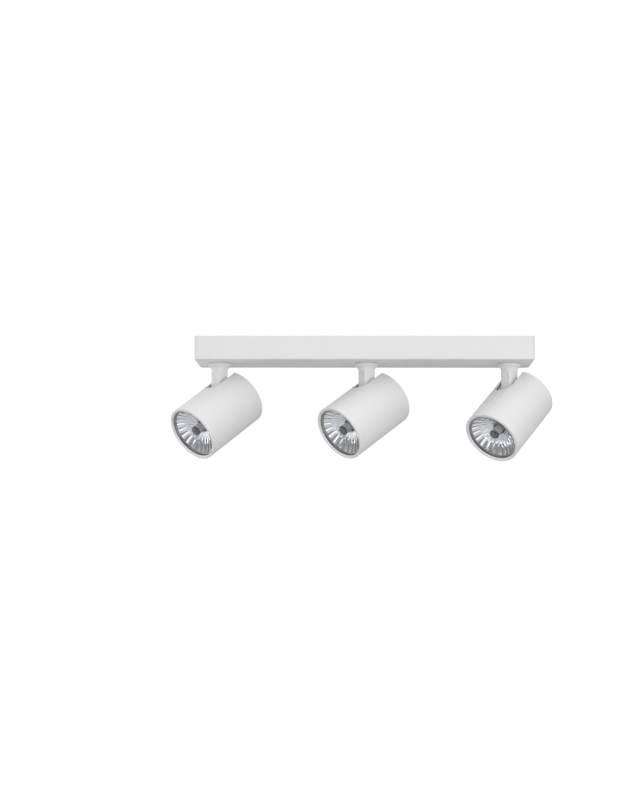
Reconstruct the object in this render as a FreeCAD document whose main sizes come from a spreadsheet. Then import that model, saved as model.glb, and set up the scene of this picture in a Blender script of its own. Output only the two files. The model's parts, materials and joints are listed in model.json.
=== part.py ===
"""Ceiling light bar with three adjustable GU10 spot heads.

The origin is at the centre of the ceiling plane. +X runs along the bar, +Y points away from the front face
and +Z points up, so everything lies at or below z = 0. Lengths are in millimetres, angles in degrees.

An arm is drawn in the frame of its spot: the swivel axis is the Z axis and the stem faces -Y. A head is drawn
in the frame of its lamp: the axis is Z, from the front rim to the rear one, and -Y is up. arm_frame and
head_frame turn both into the frame of the bar.
"""
import FreeCAD, Part
import math
import os

import Sketcher

V = FreeCAD.Vector
X_AXIS = V(1, 0, 0)
Y_AXIS = V(0, 1, 0)
Z_AXIS = V(0, 0, 1)

doc = FreeCAD.newDocument("ceiling_spot_bar")

# ---------------------------------------------------------------- driving dimensions

DIMENSIONS = {
    # housing
    "bar_length": 325.0,
    "bar_depth": 60.0,
    "bar_height": 23.0,
    "sheet_thick": 1.2,
    "corner_round": 4.0,
    "edge_round": 1.3,
    "spot_pitch": 140.5,
    "middle_offset": 2.5,
    "dimple_depth": 1.2,
    # ceiling bracket
    "strip_width": 40.0,
    "strip_thick": 1.5,
    "tab_width": 28.0,
    "tab_drop": 13.0,
    "tab_screw_drop": 8.5,
    "slot_spacing": 200.0,
    "slot_width": 5.0,
    "slot_length": 20.0,
    "inlet_place": 32.0,
    "inlet_bore": 4.5,
    "inlet_body": 6.9,
    "inlet_seat": 7.0,
    "terminal_place": 68.0,
    "earth_place": -32.0,
    # arm
    "collar_radius": 11.5,
    "collar_thick": 2.3,
    "running_gap": 0.15,
    "neck_round": 10.0,
    "neck_end_radius": 6.6,
    "neck_end_drop": 8.6,
    "stem_width": 12.4,
    "stem_round": 2.2,
    "pivot_drop": 27.4,
    "window_low": 3.2,
    "tube_radius": 5.0,
    "tube_bore": 3.0,
    "tube_top": -14.5,
    "bush_clearance": 0.06,
    "bush_wall": 1.5,
    "bush_flange": 9.0,
    "bush_flange_thick": 1.0,
    "washer_thick": 0.5,
    "nut_flats": 14.0,
    "nut_thick": 3.2,
    "lead_radius": 1.7,
    # pivot
    "pin_radius": 1.98,
    "pin_clearance": 0.06,
    "ear_gap": 7.2,
    "ear_thick": 1.5,
    "ear_radius": 6.5,
    # head
    "head_radius": 28.0,
    "head_wall": 1.8,
    "head_length": 71.4,
    "pivot_above_axis": 17.3,
    "pivot_to_front": 51.2,
    "slot_half": 9.5,
    "slot_to_front": 39.7,
    "cap_recess": 0.5,
    "cap_thick": 2.0,
    "cap_notch_drop": 8.8,
    "cap_screw_place": 19.0,
    "ring_bore": 24.6,
    "ring_lip": 1.9,
    "ring_depth": 8.0,
    "ring_wall": 0.8,
    "fit_gap": 0.05,
    # lamp
    "lamp_radius": 24.9,
    "lamp_rim": 3.2,
    "lamp_bowl": 32.0,
    "lamp_neck": 10.5,
    "lamp_length": 46.5,
    "neck_hole": 5.6,
    "capsule_radius": 4.6,
    "pin_spacing": 10.0,
    "holder_width": 26.0,
    "holder_height": 18.0,
    "holder_length": 16.0,
    "carrier_thick": 1.5,
    # pose at rest, one heading and one tilt for each spot
    "heading_one": 48.0,
    "heading_two": 52.0,
    "heading_three": 45.0,
    "tilt_one": 35.0,
    "tilt_two": 33.5,
    "tilt_three": 41.0,
}

sheet = doc.addObject("Spreadsheet::Sheet", "dims")
for row, (alias, number) in enumerate(DIMENSIONS.items(), start=1):
    sheet.set("A%d" % row, alias)
    sheet.set("B%d" % row, str(number))
    sheet.setAlias("B%d" % row, alias)
doc.recompute()

SPOTS = ("one", "two", "three")


def cell(alias):
    """The number in a cell of the sheet."""
    return float(getattr(sheet, alias))


def bound(text):
    """An expression with every alias of the sheet written as a reference to its cell."""
    words = []
    word = ""
    for letter in text + " ":
        if letter.isalnum() or letter == "_":
            word += letter
            continue
        words.append("dims." + word if word in DIMENSIONS else word)
        words.append(letter)
        word = ""
    return "".join(words).strip()


# ---------------------------------------------------------------- primitives bound to the sheet

TURNS = {
    "X": FreeCAD.Rotation(Y_AXIS, 90),
    "Y": FreeCAD.Rotation(X_AXIS, -90),
    "Z": FreeCAD.Rotation(),
}


def put(obj, at):
    """Bind the place of an object to three expressions."""
    for name, text in zip("xyz", at):
        obj.setExpression("Placement.Base." + name, bound(text))
    return obj


def rod(name, along, radius, length, at):
    """A cylinder that starts at the point at and runs in the positive direction of the axis along."""
    obj = doc.addObject("Part::Cylinder", name)
    obj.Placement = FreeCAD.Placement(V(), TURNS[along])
    obj.setExpression("Radius", bound(radius))
    obj.setExpression("Height", bound(length))
    return put(obj, at)


def cone(name, along, first, last, length, at):
    obj = doc.addObject("Part::Cone", name)
    obj.Placement = FreeCAD.Placement(V(), TURNS[along])
    obj.setExpression("Radius1", bound(first))
    obj.setExpression("Radius2", bound(last))
    obj.setExpression("Height", bound(length))
    return put(obj, at)


def hexagon(name, along, flats, length, at):
    obj = doc.addObject("Part::Prism", name)
    obj.Placement = FreeCAD.Placement(V(), TURNS[along])
    obj.Polygon = 6
    obj.setExpression("Circumradius", bound("(%s) / 1.7320508" % flats))
    obj.setExpression("Height", bound(length))
    return put(obj, at)


def block(name, size, at):
    """A box with its centre at x and y and its lowest face at z of the point at."""
    obj = doc.addObject("Part::Box", name)
    for side, text in zip(("Length", "Width", "Height"), size):
        obj.setExpression(side, bound(text))
    corner = ("%s - (%s) / 2" % (at[0], size[0]), "%s - (%s) / 2" % (at[1], size[1]), at[2])
    return put(obj, corner)


def cut(name, base, *tools):
    tool = tools[0] if len(tools) == 1 else fuse(name + "_tools", *tools)
    obj = doc.addObject("Part::Cut", name)
    obj.Base = base
    obj.Tool = tool
    return obj


def fuse(name, *shapes):
    obj = doc.addObject("Part::MultiFuse", name)
    obj.Shapes = list(shapes)
    return obj


def group(name, *shapes):
    """Separate solids kept together in one node."""
    obj = doc.addObject("Part::Compound", name)
    obj.Links = list(shapes)
    return obj


# ---------------------------------------------------------------- sketches bound to the sheet

def number(text):
    """The present value of an expression of the sheet."""
    return float(sheet.evalExpression(bound(text)))


def plane_of(body, role):
    return next(item for item in body.Origin.OriginFeatures if item.Role == role)


def new_sketch(body, name, role, offset="0"):
    """A sketch on one of the body's own origin planes, moved along the plane's normal by offset."""
    sketch = body.newObject("Sketcher::SketchObject", name)
    sketch.AttachmentSupport = (plane_of(body, role), [""])
    sketch.MapMode = "FlatFace"
    sketch.setExpression("AttachmentOffset.Base.z", bound(offset))
    return sketch


def hold(sketch, kind, value, *where):
    index = sketch.addConstraint(Sketcher.Constraint(kind, *where, number(value)))
    sketch.setExpression("Constraints[%d]" % index, bound(value))


def add_circle(sketch, radius, place=("0", "0")):
    centre = V(number(place[0]), number(place[1]), 0)
    edge = sketch.addGeometry(Part.Circle(centre, Z_AXIS, number(radius)))
    hold(sketch, "Radius", radius, edge)
    hold(sketch, "DistanceX", place[0], -1, 1, edge, 3)
    hold(sketch, "DistanceY", place[1], -1, 1, edge, 3)


def arc_between(start, end, radius):
    """An arc that turns left from start to end, or right where the radius is negative."""
    chord = end - start
    rise = math.sqrt(max(radius ** 2 - chord.Length ** 2 / 4, 0))
    inward = V(-chord.y, chord.x, 0).normalize() * math.copysign(1, radius)
    centre = (start + end) / 2 + inward * rise
    return Part.Arc(start, centre - inward * abs(radius), end)


def add_loop(sketch, corners):
    """A closed outline. A corner is (x, y), or (x, y, radius) where the edge that leads to it is an arc."""
    points = [V(number(corner[0]), number(corner[1]), 0) for corner in corners]
    edges = []
    for i, start in enumerate(points):
        target = corners[(i + 1) % len(corners)]
        end = points[(i + 1) % len(corners)]
        if len(target) == 2:
            edges.append((sketch.addGeometry(Part.LineSegment(start, end)), 1, 2))
            continue
        arc = sketch.addGeometry(arc_between(start, end, number(target[2])))
        edges.append((arc, 1, 2) if number(target[2]) > 0 else (arc, 2, 1))
        chord = end - start
        if chord.Length < 1.999 * abs(number(target[2])):
            hold(sketch, "Radius", "abs(%s)" % target[2], arc)
        elif abs(chord.x) > abs(chord.y):
            hold(sketch, "DistanceY", target[1], -1, 1, arc, 3)
        else:
            hold(sketch, "DistanceX", target[0], -1, 1, arc, 3)
    for i, corner in enumerate(corners):
        edge, first, _ = edges[i]
        before, _, last = edges[i - 1]
        hold(sketch, "DistanceX", corner[0], -1, 1, edge, first)
        hold(sketch, "DistanceY", corner[1], -1, 1, edge, first)
        sketch.addConstraint(Sketcher.Constraint("Coincident", before, last, edge, first))


def rounded_rectangle(half_x, half_y, radius):
    """The corners of a rounded rectangle about the origin of the sketch."""
    flat_x = "(%s - %s)" % (half_x, radius)
    flat_y = "(%s - %s)" % (half_y, radius)
    return [
        ("-" + flat_x, "-(%s)" % half_y, radius),
        (flat_x, "-(%s)" % half_y),
        (half_x, "-" + flat_y, radius),
        (half_x, flat_y),
        (flat_x, half_y, radius),
        ("-" + flat_x, half_y),
        ("-(%s)" % half_x, flat_y, radius),
        ("-(%s)" % half_x, "-" + flat_y),
    ]


def round_slot(middle_x, middle_y, half_length, radius):
    """The corners of a round-ended slot along the X direction of the sketch."""
    left = "%s - (%s - %s)" % (middle_x, half_length, radius)
    right = "%s + (%s - %s)" % (middle_x, half_length, radius)
    low = "%s - %s" % (middle_y, radius)
    high = "%s + %s" % (middle_y, radius)
    return [(left, low, radius), (right, low), (right, high, radius), (left, high)]


def pad(body, sketch, length, name, midplane=False):
    feature = body.newObject("PartDesign::Pad", name)
    feature.Profile = sketch
    feature.setExpression("Length", bound(length))
    feature.Midplane = midplane
    doc.recompute()
    return feature


def pocket(body, sketch, length, name, forward=False, midplane=False):
    """A pocket cuts against the normal of its sketch, or along it where forward is true."""
    feature = body.newObject("PartDesign::Pocket", name)
    feature.Profile = sketch
    feature.setExpression("Length", bound(length))
    feature.Reversed = forward
    feature.Midplane = midplane
    before = feature.BaseFeature.Shape.Volume
    doc.recompute()
    assert feature.Shape.Volume < before - 0.01, name + " cuts nothing"
    return feature


def turned(name, corners):
    """A body turned about its Z axis from a profile of (radius, height) corners."""
    body = doc.addObject("PartDesign::Body", name)
    sketch = new_sketch(body, name + "_profile", "XZ_Plane")
    add_loop(sketch, corners)
    turn = body.newObject("PartDesign::Revolution", name + "_turn")
    turn.Profile = sketch
    turn.ReferenceAxis = (sketch, ["V_Axis"])
    turn.Angle = 360
    doc.recompute()
    return body


def fillet(body, feature, radius, name, wanted):
    """Round the edges of a feature for which wanted(edge) is true."""
    names = ["Edge%d" % (i + 1) for i, edge in enumerate(feature.Shape.Edges) if wanted(edge)]
    rounding = body.newObject("PartDesign::Fillet", name)
    rounding.Base = (feature, names)
    rounding.setExpression("Radius", bound(radius))
    doc.recompute()
    return rounding


def plate(name, role, outline, length, offset="0"):
    """A body padded from one closed outline, along the normal of the plane."""
    body = doc.addObject("PartDesign::Body", name)
    sketch = new_sketch(body, name + "_outline", role, offset)
    add_loop(sketch, outline)
    pad(body, sketch, length, name + "_pad")
    return body


def ring(name, along, outer, inner, length, at):
    """A plain ring that starts at the point at."""
    outside = rod(name + "_outside", along, outer, length, at)
    inside = rod(name + "_inside", along, inner, length, at)
    return cut(name, outside, inside)


# ---------------------------------------------------------------- leads

def bent_path(points, bend):
    """Straight runs through the points, joined by tangent arcs of one radius."""
    edges = []
    start = points[0]
    for before, corner, after in zip(points, points[1:], points[2:]):
        back = (before - corner).normalize()
        ahead = (after - corner).normalize()
        half_turn = (math.pi - back.getAngle(ahead)) / 2
        reach = bend * math.tan(half_turn)
        middle_way = (back + ahead).normalize()
        middle = corner + middle_way * (bend / math.cos(half_turn) - bend)
        edges.append(Part.LineSegment(start, corner + back * reach).toShape())
        edges.append(Part.Arc(corner + back * reach, middle, corner + ahead * reach).toShape())
        start = corner + ahead * reach
    edges.append(Part.LineSegment(start, points[-1]).toShape())
    return Part.Wire(edges)


def lead(name, points, bend):
    """A round lead along a path."""
    path = bent_path(points, bend)
    radius = cell("lead_radius")
    section = Part.Wire([Part.Circle(points[0], points[1] - points[0], radius).toShape()])
    shape = path.makePipeShell([section], True, False)
    expected = math.pi * radius ** 2 * path.Length
    assert abs(shape.Volume - expected) < 0.01 * expected, name
    obj = doc.addObject("Part::Feature", name)
    obj.Shape = shape
    return obj


# ---------------------------------------------------------------- places

def spot_x(i):
    """Where the swivel axis of a spot crosses the X axis."""
    return (-cell("spot_pitch"), cell("middle_offset"), cell("spot_pitch"))[i]


def arm_frame(i):
    """The frame of an arm: the heading turns the stem from the front face towards -X."""
    return FreeCAD.Placement(V(spot_x(i), 0, 0), FreeCAD.Rotation(Z_AXIS, -cell("heading_" + SPOTS[i])))


def head_frame(i):
    """The frame of a head: its Z axis is the lamp's, from the front rim to the rear one, and -Y is up."""
    pivot = V(0, 0, -cell("bar_height") - cell("pivot_drop"))
    tilt = FreeCAD.Placement(pivot, FreeCAD.Rotation(X_AXIS, cell("tilt_" + SPOTS[i])))
    front = V(0, -cell("pivot_to_front"), -cell("pivot_above_axis"))
    return arm_frame(i) * tilt * FreeCAD.Placement(front, FreeCAD.Rotation(X_AXIS, -90))


# ---------------------------------------------------------------- the bar

FLOOR = "-(bar_height - sheet_thick)"
BUSH_RADIUS = "(tube_radius + bush_clearance + bush_wall)"
SPOT_PLACES = ("-spot_pitch", "middle_offset", "spot_pitch")
END_SCREW_HEIGHT = "-tab_screw_drop"
TAB_FACE = "(bar_length / 2 - sheet_thick - dimple_depth)"
SCREW_HOLE = "2.2"
SCREW_HEAD = "3.9"


def make_housing():
    """A drawn steel tray, open at the ceiling, with a dimple in each end for a countersunk screw."""
    outline = rounded_rectangle("bar_length / 2", "bar_depth / 2", "corner_round")
    body = plate("housing_tray", "XY_Plane", outline, "bar_height", "-bar_height")
    low = -cell("bar_height")
    fillet(body, body.Tip, "edge_round", "housing_edge",
           lambda edge: abs(edge.BoundBox.ZMax - low) < 1e-6)
    inside = new_sketch(body, "housing_inside", "XY_Plane")
    add_loop(inside, rounded_rectangle("(bar_length / 2 - sheet_thick)", "(bar_depth / 2 - sheet_thick)",
                                       "(corner_round - sheet_thick)"))
    pocket(body, inside, "bar_height - sheet_thick", "housing_hollow")
    dimples = []
    holes = []
    for side, sign in (("left", "-"), ("right", "")):
        depth = "sheet_thick + dimple_depth"
        outer = "bar_length / 2"
        inner = "bar_length / 2 - sheet_thick - dimple_depth"
        start = "-%s" % outer if sign else inner
        radii = ("5.4", "4.2") if sign else ("4.2", "5.4")
        dimples.append(cone("dimple_" + side, "X", *radii, depth, (start, "0", END_SCREW_HEIGHT)))
        sink = ("4.1", SCREW_HOLE) if sign else (SCREW_HOLE, "4.1")
        sink_start = "-%s" % outer if sign else "bar_length / 2 - 1.9"
        holes.append(cone("sink_" + side, "X", *sink, "1.9", (sink_start, "0", END_SCREW_HEIGHT)))
        holes.append(rod("screw_way_" + side, "X", SCREW_HOLE, depth, (start, "0", END_SCREW_HEIGHT)))
    for i, place in enumerate(SPOT_PLACES):
        holes.append(rod("bush_hole_%d" % (i + 1), "Z", BUSH_RADIUS + " + fit_gap", "sheet_thick",
                         (place, "0", "-bar_height")))
    return cut("housing", fuse("housing_shell", body, *dimples), *holes)


def make_bracket():
    """The slotted strip that the ceiling screws hold, with a threaded tab at each end."""
    body = doc.addObject("PartDesign::Body", "strip")
    outline = new_sketch(body, "strip_outline", "XY_Plane", "-strip_thick")
    add_loop(outline, rounded_rectangle(TAB_FACE, "strip_width / 2", "3"))
    for place in ("-slot_spacing / 2", "slot_spacing / 2"):
        add_loop(outline, round_slot(place, "0", "slot_length / 2", "slot_width / 2"))
    add_circle(outline, "inlet_seat", ("inlet_place", "0"))
    add_circle(outline, "2", ("earth_place", "0"))
    pad(body, outline, "strip_thick", "strip_pad")
    tabs = []
    holes = []
    for side, start, collar in (("left", "-" + TAB_FACE, "-%s + strip_thick" % TAB_FACE),
                                ("right", TAB_FACE + " - strip_thick", TAB_FACE + " - strip_thick - 2")):
        tab = block("tab_" + side, ("strip_thick", "tab_width", "tab_drop"),
                    (start + " + strip_thick / 2", "0", "-tab_drop - strip_thick"))
        tabs += [tab, rod("tab_collar_" + side, "X", "3.4", "2", (collar, "0", END_SCREW_HEIGHT))]
        reach = start if side == "left" else collar
        holes.append(rod("tab_thread_" + side, "X", "2", "strip_thick + 2", (reach, "0", END_SCREW_HEIGHT)))
    boss = rod("earth_collar", "Z", "3.6", "2", ("earth_place", "0", "-strip_thick - 2"))
    holes.append(rod("earth_thread", "Z", "2", "strip_thick + 2", ("earth_place", "0", "-strip_thick - 2")))
    return cut("ceiling_bracket", fuse("bracket_blank", body, *tabs, boss), *holes)


def make_housing_screws():
    """A countersunk screw in each end, flush with the outside of the housing."""
    screws = []
    for side, sign in (("left", "-"), ("right", "")):
        head_start = "-bar_length / 2 + 0.1" if sign else "bar_length / 2 - 1.8"
        radii = (SCREW_HEAD, "1.9") if sign else ("1.9", SCREW_HEAD)
        shank_start = "-bar_length / 2 + 0.1" if sign else "bar_length / 2 - 6.1"
        head = cone("screw_head_" + side, "X", *radii, "1.7", (head_start, "0", END_SCREW_HEIGHT))
        shank = rod("screw_shank_" + side, "X", "1.9", "6", (shank_start, "0", END_SCREW_HEIGHT))
        slot = block("screw_slot_" + side, ("1.2", "5", "0.8"),
                     ("-bar_length / 2" if sign else "bar_length / 2", "0", END_SCREW_HEIGHT + " - 0.4"))
        screws.append(cut("screw_" + side, fuse("screw_blank_" + side, head, shank), slot))
    return group("housing_screws", *screws)


def make_grommet():
    """The supply inlet: a flanged bush, flush with the ceiling side of the strip."""
    grommet = turned("cable_grommet", [
        ("inlet_bore", "-strip_thick - 2"),
        ("inlet_seat + 2.2", "-strip_thick - 2"),
        ("inlet_seat + 2.2", "-strip_thick - 0.05"),
        ("inlet_body", "-strip_thick - 0.05"),
        ("inlet_body", "0"),
        ("inlet_bore", "0"),
    ])
    return put(grommet, ("inlet_place", "0", "0"))


TERMINAL_HALF_DEPTH = "8.5"
POLES = ("terminal_place - 10", "terminal_place", "terminal_place + 10")
WIRE_HEIGHT = "-7"
CLAMP_ROWS = ("-4.5", "4.5")


def make_terminal_block():
    """A three-pole connector under the strip, with its clamp screws facing down."""
    base = plate("terminal_base", "XY_Plane", rounded_rectangle("17", TERMINAL_HALF_DEPTH, "1"), "11",
                 "-strip_thick - 11")
    put(base, ("terminal_place", "0", "0"))
    holes = []
    for i, place in enumerate(POLES):
        way_start = (place, "-" + TERMINAL_HALF_DEPTH, WIRE_HEIGHT)
        holes.append(rod("wire_way_%d" % i, "Y", "2.1", "2 * " + TERMINAL_HALF_DEPTH, way_start))
        for k, across in enumerate(CLAMP_ROWS):
            holes.append(rod("clamp_way_%d_%d" % (i, k), "Z", "2", "6", (place, across, "-strip_thick - 11")))
    return cut("terminal_block", base, *holes)


def make_terminal_screws():
    screws = []
    for i, place in enumerate(POLES):
        for k, across in enumerate(CLAMP_ROWS):
            low = (place, across, "-strip_thick - 10.4")
            screw = rod("clamp_%d_%d" % (i, k), "Z", "1.75", "2.6", low)
            slot = block("clamp_slot_%d_%d" % (i, k), ("3", "0.6", "0.7"), low)
            screws.append(cut("clamp_screw_%d_%d" % (i, k), screw, slot))
    return group("terminal_screws", *screws)


def make_earth_screw():
    head = rod("earth_head", "Z", "3.7", "2.2", ("earth_place", "0", "-strip_thick - 5.3"))
    shank = rod("earth_shank", "Z", "1.95", "5", ("earth_place", "0", "-strip_thick - 3.8"))
    slot = block("earth_slot", ("5", "1", "1"), ("earth_place", "0", "-strip_thick - 5.3"))
    return cut("earth_screw", fuse("earth_blank", head, shank), slot)


def make_earth_lead():
    """From the third pole, along the back of the strip, to the earth screw."""
    height = number(WIRE_HEIGHT)
    lane = -15
    pole = number(POLES[2])
    earth = cell("earth_place")
    return lead("earth_lead", [
        V(pole, -4.5, height), V(pole, lane, height), V(earth, lane, height), V(earth, -5.6, height)], 6.0)


def make_lamp_leads():
    """One sleeved pair for each lamp, from the connector over the stem tube and down the bore of the arm."""
    height = number(WIRE_HEIGHT)
    low = -cell("bar_height") - 18
    runs = []
    for i, (pole, lane) in enumerate(((POLES[1], 22), (POLES[0], 14.5), (POLES[2], 14.5))):
        axis = spot_x(i)
        place = number(pole)
        runs.append(lead("lead_%d" % (i + 1), [
            V(axis, 0, low), V(axis, 0, height), V(axis, lane, height),
            V(place, lane, height), V(place, 5, height)], 6.0))
    return group("lamp_leads", *runs)


def make_bushes():
    bushes = []
    for i, place in enumerate(SPOT_PLACES):
        low = "-bar_height"
        seat = rod("bush_seat_%d" % i, "Z", BUSH_RADIUS, "sheet_thick", (place, "0", low))
        flange = rod("bush_flange_%d" % i, "Z", "bush_flange", "bush_flange_thick", (place, "0", FLOOR))
        bore = rod("bush_bore_%d" % i, "Z", "tube_radius + bush_clearance", "sheet_thick + bush_flange_thick",
                   (place, "0", low))
        bushes.append(cut("bush_%d" % i, fuse("bush_blank_%d" % i, seat, flange), bore))
    return group("stem_bushes", *bushes)


# ---------------------------------------------------------------- an arm

COLLAR_TOP = "(-bar_height - running_gap)"
COLLAR_LOW = "(-bar_height - running_gap - collar_thick)"
PIVOT = "(-bar_height - pivot_drop)"
TUBE_LOW = "(-bar_height - 8)"
WASHER_LOW = "(-bar_height + sheet_thick + bush_flange_thick + running_gap)"


def make_arm(name):
    """The cast arm: a round collar that flares into a square stem with a rounded, drilled end."""
    neck = turned(name + "_neck", [
        ("0", "-bar_height - neck_end_drop"),
        ("neck_end_radius", "-bar_height - neck_end_drop"),
        ("collar_radius", COLLAR_LOW, "-neck_round"),
        ("collar_radius", COLLAR_TOP),
        ("0", COLLAR_TOP),
    ])
    square = rounded_rectangle("stem_width / 2", "stem_width / 2", "stem_round")
    stem = plate(name + "_stem", "XY_Plane", square, "pivot_drop - running_gap - 1", PIVOT)
    end = rod(name + "_end", "X", "stem_width / 2", "stem_width", ("-stem_width / 2", "0", PIVOT))
    bore_low = ("0", "0", PIVOT + " + window_low")
    bore = rod(name + "_bore", "Z", "tube_bore", "pivot_drop - window_low", bore_low)
    socket = rod(name + "_socket", "Z", "tube_radius + fit_gap", "8.5", ("0", "0", TUBE_LOW))
    pin_way = rod(name + "_pin_way", "X", "pin_radius + pin_clearance", "stem_width + 2",
                  ("-stem_width / 2 - 1", "0", PIVOT))
    window = block(name + "_window", ("5", "8", "5"), ("0", "-stem_width / 2 + 2", PIVOT + " + window_low"))
    return cut(name, fuse(name + "_blank", neck, stem, end), bore, socket, pin_way, window)


def make_stem_tube(name):
    return ring(name, "Z", "tube_radius", "tube_bore", "tube_top - " + TUBE_LOW, ("0", "0", TUBE_LOW))


def make_stem_nut(name):
    low = WASHER_LOW + " + 2 * washer_thick + 0.1"
    outside = hexagon(name + "_outside", "Z", "nut_flats", "nut_thick", ("0", "0", low))
    thread = rod(name + "_thread", "Z", "tube_radius + fit_gap", "nut_thick", ("0", "0", low))
    return cut(name, outside, thread)


def make_stem_washers(name):
    spring = ring(name + "_spring", "Z", "bush_flange - 0.6", "tube_radius + 0.15", "washer_thick",
                  ("0", "0", WASHER_LOW))
    plain = ring(name + "_plain", "Z", "bush_flange", "tube_radius + 0.15", "washer_thick",
                 ("0", "0", WASHER_LOW + " + washer_thick + 0.05"))
    return group(name, spring, plain)


# ---------------------------------------------------------------- a head

INSIDE = "(head_radius - head_wall)"
PIVOT_UP = "-pivot_above_axis"
LAMP_FRONT = "(ring_lip + fit_gap)"
BASE_FRONT = "(ring_lip + fit_gap + lamp_bowl)"
HOLDER_FRONT = "(ring_lip + lamp_length)"
CARRIER_FRONT = "(ring_lip + lamp_length + holder_length)"
CARRIER_BACK = "(ring_lip + lamp_length + holder_length + carrier_thick)"
CAP_FRONT = "(head_length - cap_recess - cap_thick)"
HOLDER_SCREW_PLACE = "10.2"


def make_shell(name):
    """The tube, with a round-ended slot along its top that is open at the rear rim."""
    body = doc.addObject("PartDesign::Body", name)
    outline = new_sketch(body, name + "_outline", "XY_Plane")
    add_circle(outline, "head_radius")
    add_circle(outline, INSIDE)
    blank = pad(body, outline, "head_length", name + "_pad")
    outer = cell("head_radius")
    fillet(body, blank, "0.5", name + "_rims",
           lambda edge: edge.Curve.TypeId == "Part::GeomCircle" and abs(edge.Curve.Radius - outer) < 1e-6)
    slot = new_sketch(body, name + "_slot", "XZ_Plane")
    add_loop(slot, [
        ("slot_half", "head_length + 1"),
        ("-slot_half", "head_length + 1"),
        ("-slot_half", "slot_to_front + slot_half"),
        ("slot_half", "slot_to_front + slot_half", "slot_half"),
    ])
    pocket(body, slot, "head_radius + 1", name + "_slot_cut", forward=True)
    return body


def make_rear_cap(name):
    """The rear disc: two screw bosses, vent slots and a notch that continues the slot of the tube."""
    disc = rod(name + "_disc", "Z", INSIDE + " - fit_gap", "cap_thick", ("0", "0", CAP_FRONT))
    bosses = []
    holes = []
    for side, place in (("left", "-cap_screw_place"), ("right", "cap_screw_place")):
        bosses.append(rod(name + "_boss_" + side, "Z", "3.6", CAP_FRONT + " - " + CARRIER_BACK,
                          (place, "0", CARRIER_BACK)))
        holes.append(rod(name + "_way_" + side, "Z", "1.6", "10", (place, "0", CARRIER_BACK + " - 1")))
        sink_low = (place, "0", CAP_FRONT + " + cap_thick - 1.5")
        holes.append(rod(name + "_sink_" + side, "Z", "2.9", "1.6", sink_low))
    for k in range(4):
        height = str(4.5 + 4.6 * k)
        width = ("24", "24", "24", "18")[k]
        vent = (width, "2", "cap_thick + 2")
        holes.append(block("%s_vent_%d" % (name, k), vent, ("0", height, CAP_FRONT + " - 1")))
    notch = block(name + "_notch", ("2 * slot_half", "head_radius", "cap_thick + 2"),
                  ("0", "-pivot_above_axis + cap_notch_drop - head_radius / 2", CAP_FRONT + " - 1"))
    return cut(name, fuse(name + "_blank", disc, *bosses), notch, *holes)


def make_carrier(name):
    """The steel carrier: a plate behind the lamp holder, two ears with the pivot, and a web across them."""
    outline = rounded_rectangle("22.5", "8.3", "3")
    face = plate(name + "_plate", "XY_Plane", outline, "carrier_thick", CARRIER_FRONT)
    pieces = [face]
    holes = []
    for side, sign in (("left", "-"), ("right", "")):
        column_x = sign + "(ear_gap + 2.9)"
        pieces.append(block("%s_column_%s" % (name, side), ("5.8", "16.5", "carrier_thick"),
                            (column_x, "-pivot_above_axis + 5", CARRIER_FRONT)))
        ear_x = sign + "(ear_gap + ear_thick / 2)"
        pieces.append(block("%s_ear_%s" % (name, side),
                            ("ear_thick", "2 * ear_radius", CARRIER_BACK + " - pivot_to_front"),
                            (ear_x, PIVOT_UP, "pivot_to_front")))
        pieces.append(block("%s_cheek_%s" % (name, side), ("ear_thick", "2 * ear_radius", "ear_radius"),
                            (ear_x, PIVOT_UP, "pivot_to_front - ear_radius")))
        holes.append(rod("%s_cap_thread_%s" % (name, side), "Z", "1.5", "10",
                         (sign + "cap_screw_place", "0", CARRIER_FRONT + " - 4")))
        holes.append(rod("%s_holder_way_%s" % (name, side), "Z", "1.7", "10",
                         (sign + HOLDER_SCREW_PLACE, "0", CARRIER_FRONT + " - 4")))
    pieces.append(block(name + "_web", ("2 * (ear_gap + ear_thick)", "2 * ear_radius", "ear_thick"),
                        ("0", PIVOT_UP, "pivot_to_front - ear_radius - ear_thick")))
    holes.append(rod(name + "_pin_way", "X", "pin_radius + 0.03", "30", ("-15", PIVOT_UP, "pivot_to_front")))
    holes.append(block(name + "_lead_way", ("9", "8", "10"), ("0", "0", CARRIER_FRONT + " - 4")))
    return cut(name, fuse(name + "_blank", *pieces), *holes)


def make_tilt_bolt(name):
    """The pivot screw through both ears and the end of the stem, and its nut."""
    out = "(ear_gap + ear_thick + 0.05)"
    at = (PIVOT_UP, "pivot_to_front")
    head = rod(name + "_head", "X", "3.4", "2.3", ("-%s - 2.3" % out,) + at)
    shank = rod(name + "_shank", "X", "pin_radius", "2 * %s + 3.6" % out, ("-" + out,) + at)
    recess_low = ("-%s - 2.3" % out, PIVOT_UP, "pivot_to_front - 0.5")
    recess = block(name + "_recess", ("1.4", "4.4", "1"), recess_low)
    nut = cut(name + "_nut", hexagon(name + "_nut_outside", "X", "7", "3", (out,) + at),
              rod(name + "_nut_thread", "X", "pin_radius + 0.04", "3", (out,) + at))
    return group(name, cut(name + "_screw", fuse(name + "_screw_blank", head, shank), recess), nut)


def make_tilt_washers(name):
    thick = "(ear_gap - stem_width / 2 - 2 * fit_gap)"
    at = (PIVOT_UP, "pivot_to_front")
    rings = []
    for side, start in (("left", "-ear_gap + fit_gap"), ("right", "stem_width / 2 + fit_gap")):
        rings.append(ring("%s_%s" % (name, side), "X", "5.4", "pin_radius + 0.1", thick, (start,) + at))
    return group(name, *rings)


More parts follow.
